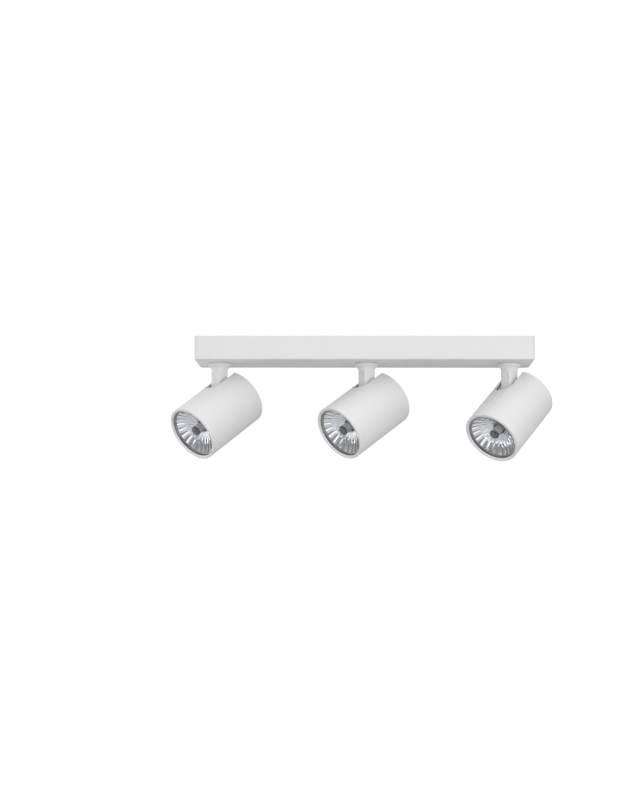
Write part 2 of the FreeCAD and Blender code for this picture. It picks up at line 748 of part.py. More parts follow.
def make_holder(name):
    """The ceramic GU10 holder, with two wells for the pins and two screw holes in its back."""
    base = plate(name + "_block", "XY_Plane", rounded_rectangle("holder_width / 2", "holder_height / 2", "6"),
                 "holder_length - fit_gap", HOLDER_FRONT)
    holes = []
    for side, sign in (("left", "-"), ("right", "")):
        holes.append(rod("%s_well_%s" % (name, side), "Z", "2.9", "10",
                         (sign + "pin_spacing / 2", "0", HOLDER_FRONT + " - 1")))
        holes.append(rod("%s_screw_%s" % (name, side), "Z", "1.55", "6",
                         (sign + HOLDER_SCREW_PLACE, "0", CARRIER_FRONT + " - 5.5")))
    return cut(name, base, *holes)


def make_head_screws(name):
    """Two screws from the carrier into the holder, and two from the cap into the carrier."""
    screws = []
    for side, sign in (("left", "-"), ("right", "")):
        place = sign + HOLDER_SCREW_PLACE
        inner_low = (place, "0", CARRIER_BACK + " + 0.02")
        inner_head = rod("%s_holder_head_%s" % (name, side), "Z", "2.7", "1.8", inner_low)
        inner_shank = rod("%s_holder_shank_%s" % (name, side), "Z", "1.45", "7",
                          (place, "0", CARRIER_BACK + " - 6.4"))
        screws.append(fuse("%s_holder_%s" % (name, side), inner_head, inner_shank))
        place = sign + "cap_screw_place"
        head_low = CAP_FRONT + " + cap_thick - 1.45"
        outer_head = rod("%s_cap_head_%s" % (name, side), "Z", "2.75", "1.4", (place, "0", head_low))
        shank_low = (place, "0", head_low + " - 6")
        outer_shank = rod("%s_cap_shank_%s" % (name, side), "Z", "1.45", "6.5", shank_low)
        slot = block("%s_cap_slot_%s" % (name, side), ("4", "0.9", "1"),
                     (place, "0", CAP_FRONT + " + cap_thick - 0.8"))
        screws.append(cut("%s_cap_%s" % (name, side),
                          fuse("%s_cap_blank_%s" % (name, side), outer_head, outer_shank), slot))
    return group(name, *screws)


def make_front_ring(name):
    """The white ring that holds the lamp: a lip over its edge and a skirt inside the tube."""
    outer = INSIDE + " - fit_gap"
    return turned(name, [
        ("ring_bore", "0"),
        (outer, "0"),
        (outer, "ring_depth"),
        (outer + " - ring_wall", "ring_depth"),
        (outer + " - ring_wall", "ring_lip"),
        ("ring_bore", "ring_lip"),
    ])


def make_reflector(name):
    """The glass bowl of the lamp, open at the front and at the neck."""
    return turned(name, [
        ("lamp_radius - 1.5", LAMP_FRONT),
        ("lamp_radius", LAMP_FRONT),
        ("lamp_radius", LAMP_FRONT + " + lamp_rim"),
        ("lamp_neck", BASE_FRONT, "40"),
        ("neck_hole", BASE_FRONT),
        ("neck_hole", BASE_FRONT + " - 2.5"),
        ("neck_hole + 1.4", BASE_FRONT + " - 2.5"),
        ("lamp_radius - 2.3", LAMP_FRONT + " + 1.7", "-38"),
        ("lamp_radius - 1.5", LAMP_FRONT + " + 1.7"),
    ])


def make_lamp_glass(name):
    return turned(name, [
        ("0", LAMP_FRONT + " + 0.1"),
        ("lamp_radius - 1.55", LAMP_FRONT + " + 0.1"),
        ("lamp_radius - 1.55", LAMP_FRONT + " + 1.5"),
        ("0", LAMP_FRONT + " + 1.5"),
    ])


def make_burner(name):
    """The quartz capsule on the axis of the lamp."""
    tube = rod(name + "_tube", "Z", "capsule_radius", "22", ("0", "0", BASE_FRONT + " - 21"))
    dome = doc.addObject("Part::Sphere", name + "_dome")
    dome.setExpression("Radius", bound("capsule_radius"))
    put(dome, ("0", "0", BASE_FRONT + " - 21"))
    press = block(name + "_press", ("8", "3.2", "4"), ("0", "0", BASE_FRONT + " + 0.5"))
    return fuse(name, tube, dome, press)


def make_lamp_base(name):
    """The ceramic base behind the bowl, with the two headed pins."""
    base = cone(name + "_body", "Z", "lamp_neck", "9.4", HOLDER_FRONT + " - " + BASE_FRONT + " - 2 * fit_gap",
                ("0", "0", BASE_FRONT + " + fit_gap"))
    hollow = rod(name + "_hollow", "Z", "neck_hole", "5.4", ("0", "0", BASE_FRONT + " - 0.1"))
    pins = []
    for side, place in (("left", "-pin_spacing / 2"), ("right", "pin_spacing / 2")):
        pins.append(rod("%s_pin_%s" % (name, side), "Z", "1.3", "6.5", (place, "0", HOLDER_FRONT + " - 1")))
        pin_end = (place, "0", HOLDER_FRONT + " + 4.6")
        pins.append(rod("%s_pin_head_%s" % (name, side), "Z", "2.4", "2.2", pin_end))
    return fuse(name, cut(name + "_ceramic", base, hollow), *pins)


# ---------------------------------------------------------------- the model

BAR_PIECES = {
    "housing": make_housing,
    "ceiling_bracket": make_bracket,
    "housing_screws": make_housing_screws,
    "cable_grommet": make_grommet,
    "terminal_block": make_terminal_block,
    "terminal_screws": make_terminal_screws,
    "earth_screw": make_earth_screw,
    "earth_lead": make_earth_lead,
    "lamp_leads": make_lamp_leads,
    "stem_bushes": make_bushes,
}

ARM_PIECES = {
    "swivel_arm": make_arm,
    "stem_tube": make_stem_tube,
    "stem_nut": make_stem_nut,
    "stem_washers": make_stem_washers,
}

HEAD_PIECES = {
    "spot_shell": make_shell,
    "rear_cap": make_rear_cap,
    "hinge_bracket": make_carrier,
    "tilt_bolt": make_tilt_bolt,
    "tilt_washers": make_tilt_washers,
    "lamp_holder": make_holder,
    "head_screws": make_head_screws,
    "front_ring": make_front_ring,
    "lamp_reflector": make_reflector,
    "lamp_glass": make_lamp_glass,
    "lamp_burner": make_burner,
    "lamp_base": make_lamp_base,
}


def build():
    """Every node of the bar, with its place."""
    nodes = {name: make() for name, make in BAR_PIECES.items()}
    for i in range(len(SPOTS)):
        for pieces, frame in ((ARM_PIECES, arm_frame(i)), (HEAD_PIECES, head_frame(i))):
            for word, make in pieces.items():
                name = "%s_%d" % (word, i + 1)
                nodes[name] = make(name)
                nodes[name].Placement = frame * nodes[name].Placement
    for name, obj in nodes.items():
        obj.Label = name
    doc.recompute()
    return nodes


def check(nodes):
    """Stop where an object failed or a node is empty or broken."""
    for obj in doc.Objects:
        if "Invalid" in obj.State or "Error" in obj.State:
            raise RuntimeError("%s is %s" % (obj.Name, obj.State))
    for name, obj in nodes.items():
        if obj.Shape.isNull() or not obj.Shape.Solids or not obj.Shape.isValid():
            raise RuntimeError(name + " has no valid solid")


def export(nodes):
    os.makedirs("parts", exist_ok=True)
    for name, obj in nodes.items():
        obj.Shape.exportStep("parts/%s.step" % name)


nodes = build()
check(nodes)
export(nodes)
print("%d nodes, %d solids" % (len(nodes), sum(len(obj.Shape.Solids) for obj in nodes.values())))
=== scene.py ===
"""Looks of the ceiling light bar with three GU10 spot heads.

Lengths in the mesh code are in millimetres, and MM turns them into metres. Joints, the camera and the
lights are in metres. An arm is drawn in the frame of its spot and a head in the frame of its lamp, as in the
CAD part: the lamp axis is Z, from the front rim to the rear one, and -Y is up.
"""
import json
import math

import bmesh
import bpy
from mathutils import Matrix, Vector


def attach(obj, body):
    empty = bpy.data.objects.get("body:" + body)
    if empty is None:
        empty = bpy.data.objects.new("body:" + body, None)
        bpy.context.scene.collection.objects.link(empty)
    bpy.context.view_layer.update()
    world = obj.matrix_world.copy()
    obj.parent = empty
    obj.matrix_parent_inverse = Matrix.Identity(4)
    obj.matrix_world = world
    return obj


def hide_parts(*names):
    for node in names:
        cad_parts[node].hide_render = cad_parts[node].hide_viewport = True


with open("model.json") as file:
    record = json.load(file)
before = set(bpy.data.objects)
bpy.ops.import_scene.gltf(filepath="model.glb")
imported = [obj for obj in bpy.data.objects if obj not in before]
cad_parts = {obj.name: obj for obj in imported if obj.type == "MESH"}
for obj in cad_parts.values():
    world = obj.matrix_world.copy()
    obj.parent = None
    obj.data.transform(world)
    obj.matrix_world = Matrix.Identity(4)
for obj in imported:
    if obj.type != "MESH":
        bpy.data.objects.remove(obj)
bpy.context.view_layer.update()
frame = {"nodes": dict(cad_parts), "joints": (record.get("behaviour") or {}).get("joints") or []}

MM = 0.001
SPOTS = (1, 2, 3)
JOINTS = {joint["name"]: joint for joint in frame["joints"]}

# ---------------------------------------------------------------- sizes, from the CAD part

BAR_LENGTH = 325.0
BAR_DEPTH = 60.0
BAR_HEIGHT = 23.0
SHEET = 1.2
CORNER_ROUND = 4.0
EDGE_ROUND = 1.3
INNER_EDGE_ROUND = 0.8
RIM_EASE = 0.25
BUSH_HOLE = 6.6
END_SCREW_Z = -8.5
SINK_RADIUS = 4.1
SINK_MOUTH = 4.5
SINK_DEPTH = 1.9
END_SCREW_HOLE = 2.2

COLLAR_RADIUS = 11.5
COLLAR_TOP = -23.15
COLLAR_LOW = -25.45
NECK_ROUND = 10.0
NECK_END_RADIUS = 6.6
NECK_END_Z = -31.6
STEM_HALF = 6.2
STEM_ROUND = 2.2
COLLAR_TOP_EASE = 0.5
COLLAR_LOW_EASE = 0.45
PIVOT_Z = -50.4

HEAD_RADIUS = 28.0
HEAD_INSIDE = 26.2
HEAD_LENGTH = 71.4
PIVOT_ABOVE_AXIS = 17.3
PIVOT_TO_FRONT = 51.2
SLOT_HALF = 9.5
SLOT_FRONT = 39.7
RIM_ROUND = 0.55
FIT = 0.05
CAP_FRONT = 68.9
CAP_BACK = 70.9
CAP_NOTCH = 8.5
VENT_FIRST = 5.5
VENT_PITCH = 4.6
VENT_HALVES = (12, 12, 12, 9)
CAP_SCREW_X = 19
CAP_SCREW_RECESS = 2.9
RING_BORE = 24.6
RING_MOUTH = 25.5
RING_LIP = 1.9
RING_DEPTH = 8.0

LAMP_FRONT = 1.95
LAMP_RADIUS = 24.9
BOWL_END = 33.95
MIRROR_EDGE = 23.3
MIRROR_FRONT = 3.65
MIRROR_END = 14.0
NECK_HOLE = 5.6
NECK_OUTSIDE = 10.5
CAPSULE_RADIUS = 4.6
COIL_RADIUS = 0.95
COIL_TURNS = 8
COIL_LENGTH = 5.6


def spot_frame(i):
    """The frame of an arm, from the axis of its tilt joint, which is the sideways direction of the head."""
    joint = JOINTS["tilt_%d" % i]
    side = Vector(joint["axis"]).normalized()
    up = Vector((0, 0, 1))
    back = up.cross(side)
    turn = Matrix((side, back, up)).transposed().to_4x4()
    return Matrix.Translation((joint["pos_m"][0], joint["pos_m"][1], 0)) @ turn


def head_frame(i):
    """The frame of a lamp: the tilt joint starts at horizontal, so its lower limit gives the tilt at rest."""
    tilt = -math.radians(JOINTS["tilt_%d" % i]["range_deg"][0])
    pivot = Matrix.Translation((0, 0, PIVOT_Z * MM))
    front = Matrix.Translation((0, -PIVOT_TO_FRONT * MM, -PIVOT_ABOVE_AXIS * MM))
    backwards = Matrix.Rotation(-math.pi / 2, 4, "X")
    return spot_frame(i) @ pivot @ Matrix.Rotation(tilt, 4, "X") @ front @ backwards


# ---------------------------------------------------------------- mesh tools

def new_piece(name, points, faces, place=Matrix(), sharp=35.0):
    """A mesh object from points in millimetres, moved by place, with its normals turned outwards."""
    mesh = bpy.data.meshes.new(name)
    mesh.from_pydata([place @ (Vector(point) * MM) for point in points], [], faces)
    obj = bpy.data.objects.new(name, mesh)
    bpy.context.scene.collection.objects.link(obj)
    tidy_mesh(mesh, sharp)
    return obj


def tidy_mesh(mesh, sharp):
    """Merge doubled points, turn the faces outwards and shade smooth between sharp edges."""
    form = bmesh.new()
    form.from_mesh(mesh)
    bmesh.ops.remove_doubles(form, verts=form.verts, dist=1e-6)
    bmesh.ops.recalc_face_normals(form, faces=form.faces)
    form.to_mesh(mesh)
    form.free()
    mesh.shade_smooth()
    mesh.set_sharp_from_angle(angle=math.radians(sharp))


def apply_modifiers(obj, sharp=35.0):
    """Bake the modifiers of an object into its mesh."""
    bpy.context.view_layer.update()
    graph = bpy.context.evaluated_depsgraph_get()
    mesh = bpy.data.meshes.new_from_object(obj.evaluated_get(graph))
    obj.modifiers.clear()
    obj.data = mesh
    tidy_mesh(mesh, sharp)


def join(name, objects):
    """One object from several that share a material."""
    form = bmesh.new()
    for obj in objects:
        form.from_mesh(obj.data)
        bpy.data.objects.remove(obj)
    mesh = bpy.data.meshes.new(name)
    form.to_mesh(mesh)
    form.free()
    obj = bpy.data.objects.new(name, mesh)
    bpy.context.scene.collection.objects.link(obj)
    mesh.shade_smooth()
    return obj


def carve(obj, cutters, bevel=0.0, sharp=35.0):
    """Cut solids out of an object, then round the new edges."""
    for cutter in cutters:
        change = obj.modifiers.new("cut", "BOOLEAN")
        change.operation = "DIFFERENCE"
        change.solver = "EXACT"
        change.object = cutter
    if bevel:
        change = obj.modifiers.new("round", "BEVEL")
        change.width = bevel * MM
        change.segments = 3
        change.limit_method = "ANGLE"
        change.angle_limit = math.radians(50)
        change.use_clamp_overlap = True
    apply_modifiers(obj, sharp)
    for cutter in cutters:
        bpy.data.objects.remove(cutter)


def fillet_profile(corners, steps=5):
    """A closed outline of points from corners (x, y, radius), each corner rounded by its radius."""
    points = []
    count = len(corners)
    for i, corner in enumerate(corners):
        here = Vector(corner[:2])
        radius = corner[2] if len(corner) > 2 else 0
        before = Vector(corners[i - 1][:2]) - here
        after = Vector(corners[(i + 1) % count][:2]) - here
        turn = before.angle(after)
        if not radius or turn > math.radians(179):
            points.append(tuple(here))
            continue
        reach = radius / math.tan(turn / 2)
        start = here + before.normalized() * reach
        end = here + after.normalized() * reach
        halfway = (before.normalized() + after.normalized()).normalized()
        centre = here + halfway * (radius / math.sin(turn / 2))
        sweep = (start - centre).angle_signed(end - centre)
        for k in range(steps + 1):
            arm = (start - centre).copy()
            arm.rotate(Matrix.Rotation(-sweep * k / steps, 2))
            points.append(tuple(centre + arm))
    return points


def lathe(name, outline, place, steps=96, closed=True, sharp=35.0):
    """Turn an outline of (radius, z) points about the Z axis."""
    points = []
    rings = []
    for radius, z in outline:
        if radius < 1e-6:
            rings.append([len(points)] * steps)
            points.append((0, 0, z))
            continue
        rings.append([len(points) + k for k in range(steps)])
        for k in range(steps):
            angle = 2 * math.pi * k / steps
            points.append((radius * math.cos(angle), radius * math.sin(angle), z))
    faces = []
    last = len(rings) if closed else len(rings) - 1
    for i in range(last):
        lower, upper = rings[i], rings[(i + 1) % len(rings)]
        for k in range(steps):
            n = (k + 1) % steps
            loop = [lower[k], lower[n], upper[n], upper[k]]
            loop = [v for j, v in enumerate(loop) if v != loop[j - 1]]
            if len(loop) > 2:
                faces.append(loop)
    return new_piece(name, points, faces, place, sharp)


def loft(name, sections, place, sharp=35.0):
    """A closed solid through sections that have the same number of points."""
    count = len(sections[0])
    points = [point for section in sections for point in section]
    faces = [list(range(count)), list(range(len(points) - count, len(points)))]
    for i in range(len(sections) - 1):
        for k in range(count):
            n = (k + 1) % count
            faces.append([i * count + k, i * count + n, (i + 1) * count + n, (i + 1) * count + k])
    return new_piece(name, points, faces, place, sharp)


def rounded_ring(half_x, half_y, radius, z, steps=8):
    """A rounded rectangle about the Z axis at one height, counted from the +X side."""
    ring = []
    for quarter in range(4):
        sign_x = (1, -1, -1, 1)[quarter]
        sign_y = (1, 1, -1, -1)[quarter]
        for k in range(steps + 1):
            angle = math.pi / 2 * (quarter + k / steps)
            ring.append((sign_x * (half_x - radius) + radius * math.cos(angle),
                         sign_y * (half_y - radius) + radius * math.sin(angle), z))
    return ring


def prism_piece(name, outline, low, high, place):
    """An outline across the Z axis, pushed along it."""
    return loft(name, [[(x, y, z) for x, y in outline] for z in (low, high)], place)


def tube(name, route, radius, place):
    """A round wire along a route of points in millimetres."""
    curve = bpy.data.curves.new(name, "CURVE")
    curve.dimensions = "3D"
    spline = curve.splines.new("NURBS")
    spline.points.add(len(route) - 1)
    for point, at in zip(spline.points, route):
        point.co = (*(place @ (Vector(at) * MM)), 1)
    spline.use_endpoint_u = True
    spline.order_u = 3
    spline.resolution_u = 8
    curve.bevel_depth = radius * MM
    curve.bevel_resolution = 2
    curve.use_fill_caps = True
    obj = bpy.data.objects.new(name, curve)
    bpy.context.scene.collection.objects.link(obj)
    bpy.context.view_layer.update()
    mesh = bpy.data.meshes.new_from_object(obj.evaluated_get(bpy.context.evaluated_depsgraph_get()))
    bpy.data.objects.remove(obj)
    wire = bpy.data.objects.new(name, mesh)
    bpy.context.scene.collection.objects.link(wire)
    tidy_mesh(mesh, 50)
    return wire


# ---------------------------------------------------------------- materials

class Shader:
    """A node material with one Principled BSDF and the object's own coordinates."""

    def __init__(self, name):
        self.material = bpy.data.materials.new(name)
        self.material.use_nodes = True
        self.nodes = self.material.node_tree.nodes
        self.links = self.material.node_tree.links
        self.bsdf = self.nodes["Principled BSDF"]
        self.place = self.nodes.new("ShaderNodeTexCoord").outputs["Object"]

    def noise(self, scale, detail=3.0, roughness=0.5):
        node = self.nodes.new("ShaderNodeTexNoise")
        node.inputs["Scale"].default_value = scale
        node.inputs["Detail"].default_value = detail
        node.inputs["Roughness"].default_value = roughness
        self.links.new(self.place, node.inputs["Vector"])
        return node.outputs["Fac"]

    def range(self, source, low, high):
        node = self.nodes.new("ShaderNodeMapRange")
        node.inputs["To Min"].default_value = low
        node.inputs["To Max"].default_value = high
        self.links.new(source, node.inputs["Value"])
        return node.outputs["Result"]

    def blend_colours(self, source, first, second):
        node = self.nodes.new("ShaderNodeMix")
        node.data_type = "RGBA"
        node.inputs["A"].default_value = (*first, 1)
        node.inputs["B"].default_value = (*second, 1)
        self.links.new(source, node.inputs["Factor"])
        return node.outputs["Result"]

    def bump(self, source, strength, distance, onto=None):
        node = self.nodes.new("ShaderNodeBump")
        node.inputs["Strength"].default_value = strength
        node.inputs["Distance"].default_value = distance
        self.links.new(source, node.inputs["Height"])
        if onto is not None:
            self.links.new(onto, node.inputs["Normal"])
        return node.outputs["Normal"]

    def set(self, **values):
        for name, value in values.items():
            socket = self.bsdf.inputs[name.replace("_", " ")]
            if hasattr(value, "is_linked"):
                self.links.new(value, socket)
            else:
                socket.default_value = value


def shade(level, tint):
    """A colour, made lighter or darker."""
    return tuple(level * part for part in tint)


def powder_coat(name, level=0.78, grain=1.0, tint=(0.998, 0.996, 1.0)):
    """Matte white powder coat: a fine orange peel over a faint cloudiness."""
    paint = Shader(name)
    cloud = paint.noise(45.0, 3.0)
    peel = paint.noise(900.0, 2.0, 0.55)
    speck = paint.noise(5200.0, 1.0)
    colour = paint.blend_colours(cloud, shade(level * 0.985, tint), shade(level * 1.01, tint))
    rough = paint.bump(speck, 0.10 * grain, 0.00006)
    normal = paint.bump(peel, 0.16 * grain, 0.00016, rough)
    paint.set(Base_Color=colour, Roughness=paint.range(peel, 0.44, 0.56), Normal=normal)
    paint.bsdf.inputs["Specular IOR Level"].default_value = 0.42
    return paint.material


def plated_steel(name, level=0.55, low=0.22, high=0.42, tint=(1.0, 0.99, 0.96)):
    """Bare or plated metal: soft cloudy patches and fine marks."""
    steel = Shader(name)
    patch = steel.noise(160.0, 4.0, 0.65)
    marks = steel.noise(2200.0, 2.0, 0.7)
    colour = steel.blend_colours(patch, shade(level * 0.86, tint), shade(level * 1.12, tint))
    steel.set(Base_Color=colour, Metallic=1.0, Roughness=steel.range(patch, low, high),
              Normal=steel.bump(marks, 0.12, 0.00005))
    return steel.material


def moulded_plastic(name, colour, roughness, waviness=0.05):
    """Plastic or rubber: a fine grain over a faint cloudiness."""
    plastic = Shader(name)
    grain = plastic.noise(1500.0, 2.0)
    cloud = plastic.noise(80.0, 2.0)
    tone = plastic.blend_colours(cloud, shade(0.96, colour), shade(1.03, colour))
    plastic.set(Base_Color=tone, Roughness=plastic.range(grain, roughness - 0.05, roughness + 0.07),
                Normal=plastic.bump(grain, waviness, 0.0001))
    return plastic.material


def unglazed_ceramic(name, colour):
    """Matte ceramic with small pits and a faint stain."""
    body = Shader(name)
    pits = body.noise(2600.0, 4.0, 0.7)
    stain = body.noise(140.0, 3.0)
    tone = body.blend_colours(stain, shade(0.93, colour), colour)
    body.set(Base_Color=tone, Roughness=body.range(pits, 0.62, 0.82), Normal=body.bump(pits, 0.25, 0.0001))
    return body.material


def mirror_coat(name):
    """Aluminium on pressed glass: a mirror under a faint, uneven haze."""
    coat = Shader(name)
    film = coat.noise(60.0, 2.0)
    tone = coat.blend_colours(film, (0.42, 0.435, 0.46), (0.52, 0.535, 0.56))
    coat.set(Base_Color=tone, Metallic=1.0, Roughness=coat.range(film, 0.08, 0.12))
    return coat.material


def lamp_glass(name, alpha, tint, roughness=0.03):
    """Glass with its own gloss, from a faint clear film to a solid dark coat as alpha goes from 0 to 1."""
    glass = Shader(name)
    film = glass.noise(90.0, 2.0)
    glass.set(Base_Color=(*tint, 1), Roughness=glass.range(film, roughness, roughness + 0.03), Alpha=alpha)
    glass.bsdf.inputs["IOR"].default_value = 1.5
    return glass.material


def woven_sleeve(name, colour):
    """A braided glass-fibre sleeve on a lead."""
    sleeve = Shader(name)
    weave = sleeve.nodes.new("ShaderNodeTexVoronoi")
    weave.inputs["Scale"].default_value = 1700.0
    sleeve.links.new(sleeve.place, weave.inputs["Vector"])
    dirt = sleeve.noise(120.0, 3.0)
    tone = sleeve.blend_colours(dirt, shade(0.9, colour), colour)
    sleeve.set(Base_Color=tone, Roughness=0.7, Normal=sleeve.bump(weave.outputs["Distance"], 0.5, 0.0002))
    return sleeve.material


MATERIALS = {
    "paint": powder_coat("white_powder_coat"),
    "ring_paint": powder_coat("white_ring_coat", 0.84, 0.5),
    "zinc": plated_steel("zinc_plate"),
    "spring": plated_steel("spring_steel", 0.30, 0.25, 0.4, (0.95, 0.97, 1.05)),
    "brass": plated_steel("brass", 0.75, 0.2, 0.34, (1.0, 0.78, 0.42)),
    "rubber": moulded_plastic("black_rubber", (0.022, 0.022, 0.023), 0.62, 0.2),
    "terminal": moulded_plastic("terminal_plastic", (0.80, 0.80, 0.77), 0.34),
    "nylon": moulded_plastic("white_nylon", (0.76, 0.76, 0.73), 0.4),
    "ceramic": unglazed_ceramic("unglazed_ceramic", (0.80, 0.77, 0.70)),
    "mirror": mirror_coat("mirror_facets"),
    # dark grey metal for the lamp's rim; its darkness is painted shade of the gap and of the ring's bore in
    # shadow
    "lamp_rim": plated_steel("lamp_rim_metal", 0.24, 0.3, 0.42, (0.98, 1.0, 1.02)),
    "glass": lamp_glass("front_glass", 0.05, (0.6, 0.64, 0.65)),
    "quartz": lamp_glass("frosted_quartz", 0.8, (0.55, 0.56, 0.58), 0.3),
    # nearly black coat for the capsule's tip: painted shade, standing in for the shadowed neck hole of the
    # bowl seen there
    "painted_shade_tip": lamp_glass("painted_shade_tip", 1.0, (0.045, 0.047, 0.05), 0.25),
    "tungsten": plated_steel("tungsten", 0.16, 0.4, 0.6),
    "sleeve": woven_sleeve("glass_fibre_sleeve", (0.78, 0.77, 0.73)),
    "earth": moulded_plastic("earth_insulation", (0.42, 0.60, 0.06), 0.42),
}


def dress(obj, key):
    """Give an object one material."""
    obj.data.materials.clear()
    obj.data.materials.append(MATERIALS[key])


def place(obj, body, slot, key, replaced=()):
    """Dress a new piece, tie it to its body and hide the CAD nodes that it stands for; the slot argument is
    not used.
    """
    dress(obj, key)
    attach(obj, body)
    if replaced:
        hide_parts(*replaced)


# ---------------------------------------------------------------- the bar

def make_housing():
    """The drawn tray, with rolled lower edges, a sink for each end screw and the holes for the bushes."""
    half_x, half_y = BAR_LENGTH / 2, BAR_DEPTH / 2
    sections = []
    rolls = 6
    inner_round = CORNER_ROUND - SHEET

    def outline(inset, z):
        return rounded_ring(half_x - inset, half_y - inset, CORNER_ROUND - inset, z, 12)

    for k in range(rolls + 1):
        angle = math.pi / 2 * k / rolls
        inset = EDGE_ROUND * (1 - math.sin(angle))
        sections.append(outline(inset, -BAR_HEIGHT + EDGE_ROUND * (1 - math.cos(angle))))
    sections.append(outline(0, -RIM_EASE))
    sections.append(outline(RIM_EASE, 0))
    sections.append(outline(SHEET - RIM_EASE, 0))
    sections.append(outline(SHEET, -RIM_EASE))
    for k in range(rolls + 1):
        angle = math.pi / 2 * k / rolls
        inset = SHEET + INNER_EDGE_ROUND * (1 - math.cos(angle))
        z = -BAR_HEIGHT + SHEET + INNER_EDGE_ROUND * (1 - math.sin(angle))
        corner = max(inner_round - (inset - SHEET), 0.5)
        sections.append(rounded_ring(half_x - inset, half_y - inset, corner, z, 12))
    housing = loft("housing_cover", sections, Matrix(), 30)
    cutters = []
    for i in SPOTS:
        x = JOINTS["swivel_%d" % i]["pos_m"][0]
        low, high = -BAR_HEIGHT - 1, -BAR_HEIGHT + 4
        cutters.append(lathe("hole", [(0, low), (BUSH_HOLE, low), (BUSH_HOLE, high), (0, high)],
                             Matrix.Translation((x, 0, 0)), 48, closed=False))
    for side in (-1, 1):
        spot = Matrix.Translation((side * half_x * MM, 0, END_SCREW_Z * MM))
        sink = [(0, 0.5), (SINK_MOUTH, 0.5), (SINK_RADIUS, 0), (END_SCREW_HOLE, -SINK_DEPTH),
                (END_SCREW_HOLE, -3), (0, -3)]
        outwards = Matrix.Rotation(side * math.pi / 2, 4, "Y")
        cutters.append(lathe("sink", sink, spot @ outwards, 40, closed=False))
    carve(housing, cutters, 0.0, 30)
    return housing


def arm_section(z):
    """The stem is square and the neck above it round; between them the round grows out of the corners."""
    if z >= COLLAR_LOW:
        return COLLAR_RADIUS, COLLAR_RADIUS
    corner_reach = (STEM_HALF - STEM_ROUND) * math.sqrt(2) + STEM_ROUND
    radius = neck_radius(z)
    if radius >= corner_reach:
        return radius, radius
    half = max(radius, STEM_HALF)
    rounding = (half * math.sqrt(2) - corner_reach) / (math.sqrt(2) - 1)
    return half, max(rounding, STEM_ROUND)


def neck_radius(z):
    """The hollow arc from the collar's lower edge to the stem."""
    start = Vector((COLLAR_RADIUS, COLLAR_LOW))
    end = Vector((NECK_END_RADIUS, NECK_END_Z))
    chord = end - start
    rise = math.sqrt(NECK_ROUND ** 2 - chord.length_squared / 4)
    normal = Vector((-chord.y, chord.x)).normalized()
    centre = (start + end) / 2 + normal * rise
    if z <= NECK_END_Z:
        return 0.0
    return centre.x - math.sqrt(max(NECK_ROUND ** 2 - (z - centre.y) ** 2, 0))


def make_arm(i):
    """The cast arm: collar, flared neck and square stem in one smooth skin, with a rounded lower end."""
    sections = []

    def add(half, rounding, z, half_y=None):
        sections.append(rounded_ring(half, half_y or half, rounding, z, 10))

    for k in range(5):
        angle = math.pi / 2 * k / 4
        radius = COLLAR_RADIUS - COLLAR_TOP_EASE * (1 - math.sin(angle))
        add(radius, radius, COLLAR_TOP - COLLAR_TOP_EASE * (1 - math.cos(angle)))
    for k in range(5):
        angle = math.pi / 2 * k / 4
        radius = COLLAR_RADIUS - COLLAR_LOW_EASE * (1 - math.cos(angle))
        add(radius, radius, COLLAR_LOW + COLLAR_LOW_EASE * (1 - math.sin(angle)))
    steps = 26
    neck_top = COLLAR_LOW - 0.12
    for k in range(steps + 1):
        z = neck_top + (NECK_END_Z - 0.6 - neck_top) * k / steps
        half, rounding = arm_section(z)
        if half < COLLAR_RADIUS - COLLAR_LOW_EASE:
            add(half, rounding, z)
    add(STEM_HALF, STEM_ROUND, -38)
    add(STEM_HALF, STEM_ROUND, PIVOT_Z)
    for k in range(1, 8):
        angle = math.pi / 2 * k / 8
        half_y = STEM_HALF * math.cos(angle)
        add(STEM_HALF, min(STEM_ROUND, half_y * 0.9), PIVOT_Z - STEM_HALF * math.sin(angle), half_y)
    arm = loft("arm_casting_%d" % i, sections, spot_frame(i), 32)
    place(arm, "arm_%d" % i, "white_paint", "paint", ["swivel_arm_%d" % i])


# ---------------------------------------------------------------- a head

def make_shell(i):
    """The tube with rolled rims and the round-ended slot for the arm."""
    at = head_frame(i)
    outline = fillet_profile([(HEAD_INSIDE, 0, 0.3), (HEAD_RADIUS, 0, RIM_ROUND),
                              (HEAD_RADIUS, HEAD_LENGTH, RIM_ROUND), (HEAD_INSIDE, HEAD_LENGTH, 0.3)], 5)
    shell = lathe("spot_tube_%d" % i, outline, at, 160, sharp=32)
    arc = []
    for k in range(25):
        angle = math.pi * k / 24
        arc.append((SLOT_HALF * math.cos(angle), SLOT_FRONT + SLOT_HALF - SLOT_HALF * math.sin(angle)))
    slot_outline = [(SLOT_HALF, HEAD_LENGTH + 2)] + arc + [(-SLOT_HALF, HEAD_LENGTH + 2)]
    points = [(x, y, z) for y in (-HEAD_RADIUS - 2, -5.0) for x, z in slot_outline]
    count = len(slot_outline)
    faces = [list(range(count)), list(range(count, 2 * count))]
    faces += [[k, (k + 1) % count, count + (k + 1) % count, count + k] for k in range(count)]
    cutter = new_piece("slot_cutter", points, faces, at)
    carve(shell, [cutter], 0.35, 32)
    place(shell, "head_%d" % i, "white_paint", "paint", ["spot_shell_%d" % i])


def make_front_ring(i):
    """The ring that holds the lamp: a short skirt in the tube, and a lip whose mouth opens forwards."""
    outer = HEAD_INSIDE - FIT
    skirt = outer - 0.8
    outline = fillet_profile([(RING_MOUTH, 0, 0.2), (outer, 0, 0.2), (outer, RING_DEPTH, 0.2),
                              (skirt, RING_DEPTH, 0.2), (skirt, RING_LIP), (RING_BORE, RING_LIP, 0.1)], 5)
    ring = lathe("lamp_ring_%d" % i, outline, head_frame(i), 128)
    place(ring, "head_%d" % i, "white_ring", "ring_paint", ["front_ring_%d" % i])


